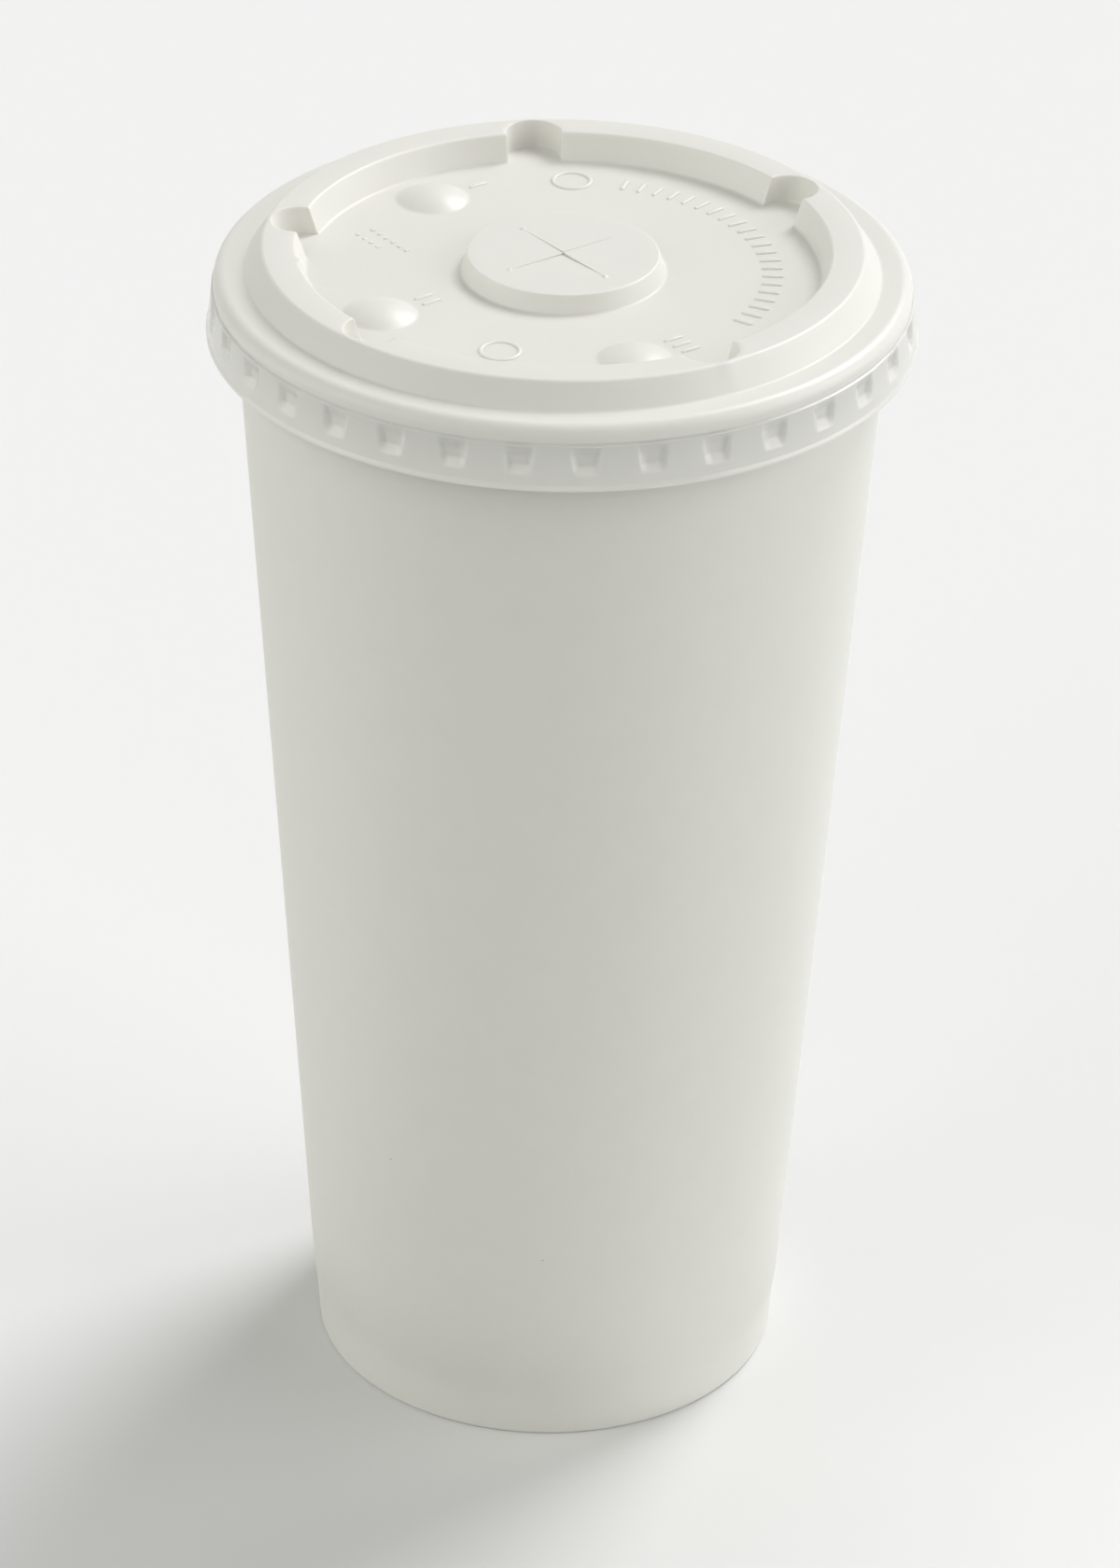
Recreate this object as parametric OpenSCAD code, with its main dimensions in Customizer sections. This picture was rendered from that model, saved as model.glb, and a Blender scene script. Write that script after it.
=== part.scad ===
// Paper cold cup with a flat push-on lid, in millimetres.
// Origin: centre of the circle that the cup stands on, +Z up.
// The lid is drawn seated on the rolled rim.

/* [Cup] */
// Height of the cup, from the table to the top of its rolled rim
cup_h = 162; // [150:0.5:175]
// Outer diameter of the sidewall where it meets the table, before crimping
base_d = 64; // [60:0.2:68]
// Outer diameter of the sidewall where the rim starts to roll
mouth_d = 85.4; // [82:0.2:86]
// Distance by which the rolled rim stands out from the sidewall
rim_out = 1.8; // [1.4:0.1:2.4]
// Straight height of the outer side of the rolled rim
rim_side_h = 1.2; // [0.6:0.1:2]
// Thickness of the sidewall board
board = 0.45; // [0.35:0.01:0.5]
// Width of the glued overlap of the side seam, at the back
seam_w = 8; // [5:0.5:12]
// Height at which the overlap stops below the rolled rim
seam_clear = 1; // [0.5:0.1:3]

/* [Base] */
// Height of the base disc's underside above the table
disc_rise = 7.5; // [6:0.1:10]
// Thickness of the base disc board
disc_board = 0.35; // [0.28:0.01:0.45]
// Glue line between the base disc's flange and the board on either side
glue_gap = 0.05; // [0.03:0.01:0.1]
// Free height between the hem's top edge and the base disc
hem_clear = 0.5; // [0.3:0.1:1]
// Free height between the flange's bottom edge and the fold
flange_clear = 0.4; // [0.3:0.1:1]
// Depth by which crimping draws the bottom band in
crimp_in = 0.18; // [0.05:0.01:0.3]
// Height by which the crimped band reaches above the base disc
crimp_over = 0.6; // [0.3:0.1:2]
// Inner radius of the fold that the cup stands on
fold_in = 0.05; // [0.02:0.01:0.15]

/* [Lid] */
// Thickness of the lid's sheet
sheet = 0.3; // [0.22:0.01:0.35]
// Height of the skirt, from the seat's top to the lip
skirt_h = 8.4; // [7.5:0.1:9.5]
// Gap between the rolled rim and the inside of the bead around it
bead_fit = 0.5; // [0.4:0.05:0.7]
// Rounding of the bead, on its upper side
bead_round = 1.6; // [1.4:0.05:1.7]
// Distance by which the skirt starts outside the bead
skirt_step = 0.2; // [0.1:0.05:0.5]
// Distance by which the skirt flares from its top to the lip
skirt_flare = 0.5; // [0.2:0.05:0.9]
// Distance by which the lip turns out below the skirt
lip_out = 0.2; // [0.1:0.05:0.4]
// Height of the turned-out lip
lip_h = 0.7; // [0.5:0.05:1]
// Height of the stiffening ring above the seat
ring_h = 3.4; // [2.5:0.1:4.5]
// Distance from the sidewall at the mouth in to the foot of the ring
ring_inset = 1.6; // [1.4:0.1:2.4]
// Slope of the ring's outer wall, as the distance its top lies inside its foot
ring_out_draft = 2.15; // [1:0.05:3]
// Width of the ring's flat top
ring_top_w = 4.3; // [3.6:0.1:5.5]
// Slope of the ring's inner wall, as the distance its foot lies inside its top
ring_in_draft = 1.25; // [0.5:0.05:2]
// Depth of the sunk panel below the seat
panel_drop = 0.25; // [0:0.05:0.6]
// Rounding of the lid's outer edges
edge_round = 0.6; // [0.5:0.05:0.8]

/* [Straw boss] */
// Diameter of the straw boss at its top
boss_d = 24.9; // [20:0.1:28]
// Height of the straw boss above the panel
boss_h = 2.45; // [1.5:0.05:3]
// Slope of the boss's side, as the distance its foot lies outside its top
boss_draft = 0.8; // [0.4:0.05:1.5]
// Length of one arm of the straw cross
slit_l = 8.7; // [6:0.1:9.5]
// Width of the straw cross's cuts
slit_w = 0.3; // [0.2:0.01:0.5]
// Diameter of the round end of each cut
slit_end_d = 0.9; // [0.6:0.05:1.4]
// Turn of the straw cross about the lid's axis
slit_turn = 38; // [0:1:89]

/* [Buttons, pockets and lugs] */
// Distance of the push buttons from the lid's axis
button_r = 27.1; // [26:0.1:27.4]
// Diameter of a push button at the panel
button_d = 9.6; // [8:0.1:10.4]
// Height of a push button
button_h = 1.4; // [0.9:0.05:2]
// Diameter of the half-round pockets in the ring's inner wall
pocket_d = 7.5; // [6:0.1:8]
// Thickness of ring left outside a pocket, at the ring's top edge
pocket_back = 0.35; // [0.3:0.05:1]
// Number of dents around the skirt
lug_count = 34; // [24:1:40]
// Turn of the row of dents about the lid's axis
lug_turn = 274.2; // [270:0.1:280]
// Width of a dent at its top
lug_top_w = 4; // [3:0.1:4.6]
// Width of a dent at its bottom
lug_bottom_w = 2.9; // [2:0.1:3]
// Height of a dent
lug_h = 3.8; // [2.5:0.1:4]
// Height from the lip up to a dent's bottom
lug_rise = 2; // [1.4:0.1:2.4]
// Gap between the inside of a dent and the rolled rim
lug_fit = 0.25; // [0.2:0.01:0.35]

/* [Raised marks] */
// Height of the raised marks above the panel
mark_h = 0.25; // [0.15:0.01:0.4]
// Width of a raised bar
mark_w = 0.6; // [0.4:0.05:0.8]
// Length of a raised bar
mark_l = 2.8; // [2:0.1:3.2]
// Distance from a button's middle to its row of bars
tally_away = 7.4; // [7:0.1:8]
// Pitch of the bars beside a button
tally_pitch = 1.8; // [1.4:0.1:2]
// Number of bars in the curved row
arc_bars = 22; // [10:1:28]
// Outer diameter of the two raised circles
circle_d = 5.6; // [4:0.1:6]

/* [Hidden] */

$fn = 128;
// Room that a cutting solid has past the face that it cuts
over = 1;
// Directions of the buttons, the pockets and the nib, around the lid
button_turns = [130, 211, 290];
pocket_turns = [32, 97, 170, 227, 302];
nib_turn = 190;
// Direction in which the marks beside the buttons read, and the span of the curved row
mark_turn = -53;
arc_from = -32;
arc_to = 73;
// Directions of the two raised circles, and how far the second lies inside the first
circle_turns = [88, 252];
circle_in = 2;
// Width of the nib, how far it stands in from the ring, and how deep it is rooted
nib_w = 1.6;
nib_in = 0.5;
nib_root = 1;
// Height left between the top of a dent and the step above the skirt
lug_over = 0.1;

// Radii and heights of the cup
base_r = base_d / 2;
mouth_r = mouth_d / 2;
rim_r = mouth_r + rim_out;
roll_r = (rim_out + board) / 2;
roll_mid_r = rim_r - roll_r;
roll_top_z = cup_h - roll_r;
roll_low_z = roll_top_z - rim_side_h;
slope = (mouth_r - base_r) / roll_top_z;
// Turn of the roll covered by one straight step, and how far its tail turns under
roll_step = 18;
roll_tail = 126;
crimp_z = disc_rise + disc_board + crimp_over;
// Height over which the crimped band steps out to the cone
crimp_step = 0.5;
hem_z = disc_rise - hem_clear;
// Depth of each layer at the foot, measured in from the crimped wall's outer face
layer_wall = board;
layer_flange = layer_wall + glue_gap;
layer_hem = layer_flange + disc_board + glue_gap;

// Radii and heights of the lid's upper surface
seat_z = cup_h + sheet;
lip_z = seat_z - skirt_h;
panel_z = seat_z - panel_drop;
ring_z = seat_z + ring_h;
boss_z = panel_z + boss_h;
boss_r = boss_d / 2;
bead_r = rim_r + bead_fit + sheet;
bead_mid_r = bead_r - bead_round;
bead_mid_z = seat_z - bead_round;
skirt_r = bead_r + skirt_step;
lip_r = skirt_r + skirt_flare + lip_out;
ring_foot_r = mouth_r - ring_inset;
ring_out_r = ring_foot_r - ring_out_draft;
ring_in_r = ring_out_r - ring_top_w;
panel_r = ring_in_r - ring_in_draft;
lug_floor_r = rim_r + lug_fit + sheet;
lug_low_z = lip_z + lug_rise;
skirt_top_z = lug_low_z + lug_h + lug_over;
pocket_mid_r = ring_out_r - pocket_back - pocket_d / 2;
// Angle to which the bead turns in under itself, in degrees below level
bead_tuck = 20;
// Lean of the boss's side and of the ring's two walls from upright, in degrees
boss_lean = atan2(boss_draft, boss_h);
ring_in_lean = atan2(ring_in_draft, ring_h + panel_drop);
ring_out_lean = atan2(ring_out_draft, ring_h);

// Outer radius of the sidewall at a height
function wall_r(z) = base_r + slope * z;
// Outer radius of the crimped band at a height
function crimp_r(z) = wall_r(z) - crimp_in;

// Direction square to a step from a to b, on its left
function side(a, b) = let (d = (b - a) / norm(b - a)) [-d[1], d[0]];
// Left direction at point i of a path, lengthened so that offset steps stay parallel
function corner(path, i) =
    let (last = len(path) - 1)
    let (before = side(path[max(i - 1, 0)], path[max(i, 1)]))
    let (after = side(path[min(i, last - 1)], path[min(i + 1, last)]))
    (before + after) / (1 + before * after);
// The same path moved to its left
function shift(path, d) = [for (i = [0:len(path) - 1]) path[i] + d * corner(path, i)];
// A band of thickness t that follows a path on both sides
function ribbon(path, t) = let (right = shift(path, -t / 2))
    concat(shift(path, t / 2), [for (i = [len(path) - 1:-1:0]) right[i]]);
// Points along an arc, from angle a to angle b
function arc(mid, r, a, b, steps) =
    [for (i = [0:steps]) let (t = a + (b - a) * i / steps) mid + r * [cos(t), sin(t)]];
// Points of steps that touch an arc from outside, so that its top keeps a flat land
function flats(mid, r, a, step, count) =
    [for (i = [0:count - 1]) let (t = a - (i + 0.5) * step) mid + r / cos(step / 2) * [cos(t), sin(t)]];

// Path of the middle of the sidewall board, from the hem's top edge round to the roll's tail
function board_path() = let (mid = board / 2)
    let (hem = layer_hem + mid)
    let (bend = fold_in + mid)
    concat(
        [[crimp_r(hem_z) - hem, hem_z]],
        arc([crimp_r(0) - hem + bend, mid + bend], bend, 180, 270, 4),
        arc([crimp_r(0) - mid - bend, mid + bend], bend, 270, 360, 4),
        [[crimp_r(crimp_z) - mid, crimp_z]],
        [[wall_r(crimp_z + crimp_step) - mid, crimp_z + crimp_step]],
        [[mouth_r - mid, roll_top_z]],
        flats([roll_mid_r, roll_top_z], roll_r - mid, 180, roll_step, 180 / roll_step),
        flats([roll_mid_r, roll_low_z], roll_r - mid, 0, roll_step, roll_tail / roll_step));

// Sidewall: one blank of board rolled into a cone, with its side seam, rolled rim and folded hem
module cup_sidewall() {
    color([0.86, 0.86, 0.82]) {
        rotate_extrude() polygon(ribbon(board_path(), board));
        seam_overlap();
    }
}

// The seam's second layer lies on the cone's outer face, and is cut to a strip of even width
module seam_overlap() {
    top = roll_low_z - roll_r - seam_clear;
    low = board;
    kink = crimp_z + crimp_step;
    half = board / 2;
    intersection() {
        rotate_extrude()
            polygon([
                [crimp_r(low) - half, low],
                [crimp_r(low) + board, low],
                [crimp_r(crimp_z) + board, crimp_z],
                [wall_r(kink) + board, kink],
                [wall_r(top) + board, top],
                [wall_r(top) - half, top],
                [wall_r(kink) - half, kink],
                [crimp_r(crimp_z) - half, crimp_z]]);
        translate([-seam_w / 2, 0, 0]) cube([seam_w, rim_r, cup_h]);
    }
}

// Base disc: a flat disc whose edge is turned down and held between the wall and the hem
module base_disc() {
    top = disc_rise + disc_board;
    low = board + flange_clear;
    out = layer_flange;
    in = layer_flange + disc_board;
    color([0.84, 0.84, 0.8])
        rotate_extrude()
            polygon([
                [0, disc_rise],
                [crimp_r(disc_rise) - in, disc_rise],
                [crimp_r(low) - in, low],
                [crimp_r(low) - out, low],
                [crimp_r(disc_rise) - out, disc_rise],
                [crimp_r(top) - in, top],
                [0, top]]);
}

// Path of the lid's upper surface, from its axis out to the lip
function lid_path() = concat(
    [[0, boss_z]],
    arc([boss_r - edge_round, boss_z - edge_round], edge_round, 90, boss_lean, 3),
    [[boss_r + boss_draft, panel_z]],
    [[panel_r, panel_z]],
    arc([ring_in_r + edge_round, ring_z - edge_round], edge_round, 180 - ring_in_lean, 90, 3),
    arc([ring_out_r - edge_round, ring_z - edge_round], edge_round, 90, ring_out_lean, 3),
    [[ring_foot_r, seat_z]],
    arc([bead_mid_r, bead_mid_z], bead_round, 90, -bead_tuck, 8),
    [[skirt_r, skirt_top_z]],
    [[lip_r - lip_out, lip_z + lip_h]],
    [[lip_r, lip_z]]);

// Solid below the lid's surface, taken in by d on every side
module lid_form(d) {
    foot = lip_z - (d > 0 ? over : 0);
    edge = shift(lid_path(), -d);
    difference() {
        union() {
            rotate_extrude() polygon(concat(edge, [[edge[len(edge) - 1][0], foot], [0, foot]]));
            for (turn = button_turns) rotate(turn) translate([button_r, 0, panel_z]) button_dome(d);
            nib(d);
        }
        for (turn = pocket_turns) {
            rotate(turn)
                translate([pocket_mid_r, 0, panel_z - d])
                    cylinder(d = pocket_d + 2 * d, h = ring_h + panel_drop + d + over, $fn = 48);
        }
        for (i = [0:lug_count - 1]) rotate(lug_turn + i * 360 / lug_count) lug_dent(d);
    }
}

// Push button: the cap of a sphere that stands on the panel
module button_dome(d) {
    ball_r = (pow(button_d / 2, 2) + pow(button_h, 2)) / (2 * button_h);
    intersection() {
        translate([0, 0, button_h - ball_r]) sphere(r = ball_r - d, $fn = 96);
        translate([0, 0, -sheet - over / 2]) cylinder(d = button_d, h = button_h + sheet + over);
    }
}

// Small upright nib on the ring's inner edge
module nib(d) {
    wide = nib_w - 2 * d;
    rotate(nib_turn)
        translate([ring_in_r - nib_in + d, -wide / 2, panel_z - d])
            cube([nib_in + nib_root, wide, ring_h + panel_drop - edge_round]);
}

// Dent of one skirt lug, wider at its top
module lug_dent(d) {
    low = lug_low_z - d;
    high = lug_low_z + lug_h + d;
    translate([lug_floor_r - d, 0, 0])
        rotate([90, 0, 90])
            linear_extrude(lip_r - lug_floor_r + d + over)
                polygon([
                    [-lug_bottom_w / 2 - d, low],
                    [lug_bottom_w / 2 + d, low],
                    [lug_top_w / 2 + d, high],
                    [-lug_top_w / 2 - d, high]]);
}

// Cuts of the straw cross, through the top of the boss
module straw_cross() {
    cut_z = boss_z - sheet - over / 2;
    for (turn = [0:90:270]) {
        rotate(slit_turn + turn) {
            translate([0, -slit_w / 2, cut_z]) cube([slit_l - slit_end_d / 2, slit_w, sheet + over]);
            translate([slit_l - slit_end_d / 2, 0, cut_z])
                cylinder(d = slit_end_d, h = sheet + over, $fn = 24);
        }
    }
}

// One raised bar, its length along the reading direction's upright
module mark_bar() {
    translate([-mark_w / 2, -mark_l / 2, panel_z - sheet / 2]) cube([mark_w, mark_l, sheet / 2 + mark_h]);
}

// One raised circle
module mark_circle() {
    translate([0, 0, panel_z - sheet / 2])
        difference() {
            cylinder(d = circle_d, h = sheet / 2 + mark_h, $fn = 48);
            translate([0, 0, -over]) cylinder(d = circle_d - 2 * mark_w, h = 3 * over, $fn = 48);
        }
}

// Raised marks on the panel: one, two and three bars, a curved row of bars and two circles
module raised_marks() {
    for (i = [0:len(button_turns) - 1]) {
        at = button_r * [cos(button_turns[i]), sin(button_turns[i])];
        translate(at)
            rotate(mark_turn)
                for (k = [0:i]) translate([(k - i / 2) * tally_pitch, tally_away, 0]) mark_bar();
    }
    for (k = [0:arc_bars - 1]) {
        turn = arc_from + (arc_to - arc_from) * k / (arc_bars - 1);
        rotate(turn - 90) translate([0, button_r, 0]) mark_bar();
    }
    rotate(circle_turns[0]) translate([button_r, 0, 0]) mark_circle();
    rotate(circle_turns[1]) translate([button_r - circle_in, 0, 0]) mark_circle();
}

// Lid: one sheet moulded over the rim, with boss, buttons, ring, bead and skirt
module lid() {
    color([0.9, 0.9, 0.87])
        difference() {
            union() {
                difference() {
                    lid_form(0);
                    lid_form(sheet);
                }
                raised_marks();
            }
            straw_cross();
        }
}

cup_sidewall();
base_disc();
lid();
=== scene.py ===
"""Looks of a tall paper cold cup with its flat push-on lid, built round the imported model."""
import math

import bpy
import numpy as np
from bpy.props import FloatProperty, FloatVectorProperty, IntProperty, PointerProperty
from bpy.types import Operator, Panel, PropertyGroup
from mathutils import Matrix, Vector


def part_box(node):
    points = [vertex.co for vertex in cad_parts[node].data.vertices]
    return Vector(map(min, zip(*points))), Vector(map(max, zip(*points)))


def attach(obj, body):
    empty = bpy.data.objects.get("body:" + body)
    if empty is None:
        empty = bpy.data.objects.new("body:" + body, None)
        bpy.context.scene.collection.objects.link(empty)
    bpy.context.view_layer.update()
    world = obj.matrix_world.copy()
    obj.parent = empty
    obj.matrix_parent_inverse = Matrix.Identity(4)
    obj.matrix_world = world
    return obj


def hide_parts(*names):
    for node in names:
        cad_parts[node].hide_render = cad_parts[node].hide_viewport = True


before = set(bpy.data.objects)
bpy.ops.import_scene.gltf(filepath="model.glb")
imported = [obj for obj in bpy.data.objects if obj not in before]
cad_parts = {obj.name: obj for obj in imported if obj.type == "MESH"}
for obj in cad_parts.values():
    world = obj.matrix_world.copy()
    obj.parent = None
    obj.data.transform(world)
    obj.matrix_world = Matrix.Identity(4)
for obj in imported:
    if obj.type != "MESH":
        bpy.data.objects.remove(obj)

bl_info = {
    "name": "Paper Cold Cup",
    "version": (1, 0, 0),
    "blender": (4, 5, 0),
    "location": "View3D > Sidebar > Cold Cup",
    "description": "Builds a paper cold cup with a moulded lid, its materials and its stage",
    "category": "Add Mesh",
}

MM = 0.001
FULL_TURN = 2 * math.pi
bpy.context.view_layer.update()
WALL_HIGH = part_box("cup_sidewall")[1]
DISC_LOW, DISC_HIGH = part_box("base_disc")
LID_LOW, LID_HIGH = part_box("lid")


def length(name, description, default):
    """A length that a user may change, in metres."""
    return FloatProperty(
        name=name, description=description, default=default, unit="LENGTH", subtype="DISTANCE", precision=5
    )


def colour(name, description, default):
    """A colour that a user may change."""
    return FloatVectorProperty(
        name=name, description=description, default=default, size=3, min=0, max=1, subtype="COLOR"
    )


def turn(name, description, degrees):
    """An angle that a user may change."""
    return FloatProperty(
        name=name, description=description, default=math.radians(degrees), unit="ROTATION", subtype="ANGLE"
    )


class ColdCupSizes(PropertyGroup):
    """Sizes of the cup itself."""
    height: length("Height", "Table to the top of the rolled rim", WALL_HIGH.z)
    rim_radius: length("Rim radius", "Outer radius of the rolled rim", WALL_HIGH.x)
    rim_out: length("Rim overhang", "How far the rim stands out from the wall", 1.8 * MM)
    rim_side: length("Rim side", "Straight height of the rim's outer side", 1.2 * MM)
    base_radius: length("Base radius", "Outer radius of the wall at the table", 32 * MM)
    board: length("Board", "Thickness of the wall's board", 0.45 * MM)
    disc_board: length("Disc board", "Thickness of the base disc's board", 0.35 * MM)
    disc_top: length("Disc top", "Height of the base disc's top", DISC_HIGH.z)
    flange_low: length("Flange foot", "Height of the lower edge of the base disc's flange", DISC_LOW.z)
    glue_gap: length("Glue line", "Gap on either side of the base disc's flange", 0.05 * MM)
    hem_clear: length("Hem clearance", "Free height between the hem and the base disc", 0.5 * MM)
    fold_inner: length("Fold radius", "Inner radius of the fold the cup stands on", 0.05 * MM)
    crimp_in: length("Crimp depth", "How far crimping draws the bottom band in", 0.18 * MM)
    crimp_height: length("Crimp height", "Height of the crimped band", 8.45 * MM)
    crimp_step: length("Crimp step", "Height over which the band steps out", 0.5 * MM)
    seam_width: length("Seam width", "Width of the side seam's overlap", 8 * MM)
    seam_fade: length("Seam fade", "Width over which the outer layer settles back", 5 * MM)
    columns: IntProperty(name="Columns", description="Steps around the wall", default=384, min=96)


class LidSizes(PropertyGroup):
    """Sizes of the moulded lid."""
    sheet: length("Sheet", "Thickness of the sheet", 0.3 * MM)
    ring_height: length("Ring height", "Height of the ring above the seat", 3.4 * MM)
    ring_foot: length("Ring foot", "Radius of the ring's outer foot", 41.1 * MM)
    ring_outer: length("Ring outer edge", "Radius of the ring's outer top edge", 38.95 * MM)
    ring_inner: length("Ring inner edge", "Radius of the ring's inner top edge", 34.65 * MM)
    panel_radius: length("Panel radius", "Radius of the sunk panel", 33.4 * MM)
    panel_drop: length("Panel drop", "Depth of the panel below the seat", 0.25 * MM)
    boss_radius: length("Boss radius", "Radius of the straw boss's top", 12.45 * MM)
    boss_height: length("Boss height", "Height of the straw boss", 2.45 * MM)
    boss_draft: length("Boss draft", "How far the boss's foot lies outside its top", 0.8 * MM)
    bead_fit: length("Bead gap", "Gap between the rim and the bead around it", 0.5 * MM)
    bead_round: length("Bead rounding", "Rounding of the bead", 1.6 * MM)
    skirt_step: length("Skirt step", "How far the skirt starts outside the bead", 0.2 * MM)
    lip_out: length("Lip", "How far the lip turns out", 0.2 * MM)
    lip_height: length("Lip height", "Height of the turned-out lip", 0.7 * MM)
    slit: length("Slit", "Length of one arm of the straw cross", 8.7 * MM)
    slit_turn: turn("Cross turn", "Turn of the straw cross", 38)
    slit_gap: length("Slit gap", "Gap between two flaps of the straw cross", 0.03 * MM)
    pocket_radius: length("Pocket radius", "Radius of the half-round pockets", 3.75 * MM)
    pocket_back: length("Pocket back", "Sheet left outside a pocket at the ring's edge", 0.35 * MM)
    button_away: length("Button place", "Distance of the buttons from the axis", 27.1 * MM)
    button_radius: length("Button radius", "Radius of a button", 4.8 * MM)
    button_height: length("Button height", "Height of a button", 1.4 * MM)
    lug_turn: turn("Dent turn", "Turn of the row of dents", 274.2)
    lug_top: length("Dent top", "Width of a dent at its top", 4 * MM)
    lug_bottom: length("Dent bottom", "Width of a dent at its bottom", 2.9 * MM)
    lug_height: length("Dent height", "Height of a dent", 3.8 * MM)
    lug_rise: length("Dent rise", "Height of a dent above the lip", 2 * MM)
    lug_fit: length("Dent gap", "Gap between a dent and the rim", 0.25 * MM)
    mark_height: length("Mark height", "Height of the raised marks", 0.25 * MM)


class ColdCupColours(PropertyGroup):
    """Colours of the board, the sheet and the stage."""
    board: colour("Board", "White coated board", (0.785, 0.783, 0.735))
    sheet: colour("Sheet", "Off-white sheet of the lid's crown", (0.81, 0.8, 0.75))
    skirt: colour("Skirt", "Thinner and clearer sheet of the lid's skirt", (0.82, 0.81, 0.752))
    floor: colour("Floor", "Floor paper, as seen", (0.915, 0.914, 0.918))
    # Painted shade: the floor's colour round the cup's shadow in front of the foot, darker than the open floor
    floor_painted_shade: colour("Floor near", "Floor paper in front of the foot, as seen", (0.76, 0.762, 0.75))
    bounce: colour("Bounce", "Floor paper, as it lights the cup", (0.72, 0.72, 0.72))
    background: colour("Background", "What shows beyond the floor", (0.887, 0.887, 0.887))


def deselect_all():
    """Nothing is selected and nothing is active."""
    for thing in bpy.context.selected_objects:
        thing.select_set(False)
    bpy.context.view_layer.objects.active = None


def activate(piece):
    """Only this piece is selected and active."""
    deselect_all()
    piece.select_set(True)
    bpy.context.view_layer.objects.active = piece


def apply_modifiers(piece):
    """Every modifier on the piece is applied, in order."""
    activate(piece)
    for name in [modifier.name for modifier in piece.modifiers]:
        bpy.ops.object.modifier_apply(modifier=name)


def apply_place(piece):
    """The piece's place goes into its mesh, so that its object sits at the origin."""
    activate(piece)
    bpy.ops.object.transform_apply(location=True, rotation=True, scale=True)


def draw_path(name, points):
    """A new mesh of one line through points of radius and height, drawn point by point."""
    deselect_all()
    radius, height = points[0]
    bpy.ops.mesh.primitive_plane_add(size=MM, location=(0, 0, 0))
    piece = bpy.context.object
    piece.name = name
    piece.data.name = name
    bpy.ops.object.mode_set(mode="EDIT")
    bpy.ops.mesh.select_mode(type="VERT")
    bpy.ops.mesh.select_all(action="SELECT")
    bpy.ops.mesh.merge(type="CENTER")
    bpy.ops.transform.translate(value=(radius, 0, height))
    for (r0, z0), (r1, z1) in zip(points, points[1:]):
        bpy.ops.mesh.extrude_vertices_move(TRANSFORM_OT_translate={"value": (r1 - r0, 0, z1 - z0)})
    bpy.ops.object.mode_set(mode="OBJECT")
    return piece


def turn_path(piece, columns):
    """The piece's line is turned once round the Z axis into a closed surface."""
    screw = piece.modifiers.new("Turn", "SCREW")
    screw.angle = FULL_TURN
    screw.steps = screw.render_steps = columns
    apply_modifiers(piece)
    bpy.ops.object.mode_set(mode="EDIT")
    bpy.ops.mesh.select_all(action="SELECT")
    bpy.ops.mesh.remove_doubles(threshold=0.002 * MM)
    bpy.ops.mesh.normals_make_consistent(inside=False)
    bpy.ops.object.mode_set(mode="OBJECT")


def rounded(corners):
    """Points of a line through corners of (radius, height, rounding, steps), with each corner an arc."""
    points = []
    for i, (radius, height, rounding, steps) in enumerate(corners):
        here = Vector((radius, height))
        if rounding == 0 or i in (0, len(corners) - 1):
            points.append((radius, height))
            continue
        back = (Vector(corners[i - 1][:2]) - here).normalized()
        on = (Vector(corners[i + 1][:2]) - here).normalized()
        half = back.angle(on) / 2
        centre = here + (back + on).normalized() * (rounding / math.sin(half))
        start = here + back * (rounding / math.tan(half)) - centre
        bend = start.angle_signed(here + on * (rounding / math.tan(half)) - centre)
        for step in range(steps + 1):
            point = centre + Matrix.Rotation(-bend * step / steps, 2) @ start
            points.append((point.x, point.y))
    return points


def read_points(piece):
    """The piece's vertices, one row each."""
    flat = np.zeros(len(piece.data.vertices) * 3)
    piece.data.vertices.foreach_get("co", flat)
    return flat.reshape(-1, 3)


def write_points(piece, points):
    """New places for the piece's vertices."""
    piece.data.vertices.foreach_set("co", np.ascontiguousarray(points).ravel())
    piece.data.update()


def around(away, angle):
    """The place at a distance from the axis, in one direction."""
    return away * math.cos(angle), away * math.sin(angle)


def smooth(low, high, value):
    """0 below low, 1 above high, and an even rise between."""
    t = np.clip((value - low) / (high - low), 0, 1)
    return t * t * (3 - 2 * t)


def finish_piece(piece, body, material, angle=40):
    """Shading, material and the piece's place in the frame."""
    activate(piece)
    bpy.ops.object.shade_smooth_by_angle(angle=math.radians(angle))
    piece.data.materials.clear()
    piece.data.materials.append(material)
    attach(piece, body)
    deselect_all()


def thicken(piece, thickness, offset):
    """The surface becomes a sheet with closed edges."""
    solidify = piece.modifiers.new("Sheet", "SOLIDIFY")
    solidify.thickness = thickness
    solidify.offset = offset
    solidify.use_even_offset = True
    solidify.use_quality_normals = True
    apply_modifiers(piece)


class Grain:
    """Small builder for the nodes of one material or group."""

    def __init__(self, tree):
        self.tree = tree
        self.tree.nodes.clear()

    def node(self, kind, **values):
        made = self.tree.nodes.new(kind)
        for key, value in values.items():
            setattr(made, key, value)
        return made

    def link(self, out, into):
        self.tree.links.new(out, into)


def new_group(name, inputs, outputs):
    """An empty shader node group with named sockets."""
    group = bpy.data.node_groups.new(name, "ShaderNodeTree")
    for label, kind, default in inputs:
        socket = group.interface.new_socket(name=label, in_out="INPUT", socket_type=kind)
        socket.default_value = default
    for label, kind in outputs:
        group.interface.new_socket(name=label, in_out="OUTPUT", socket_type=kind)
    return group


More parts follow.
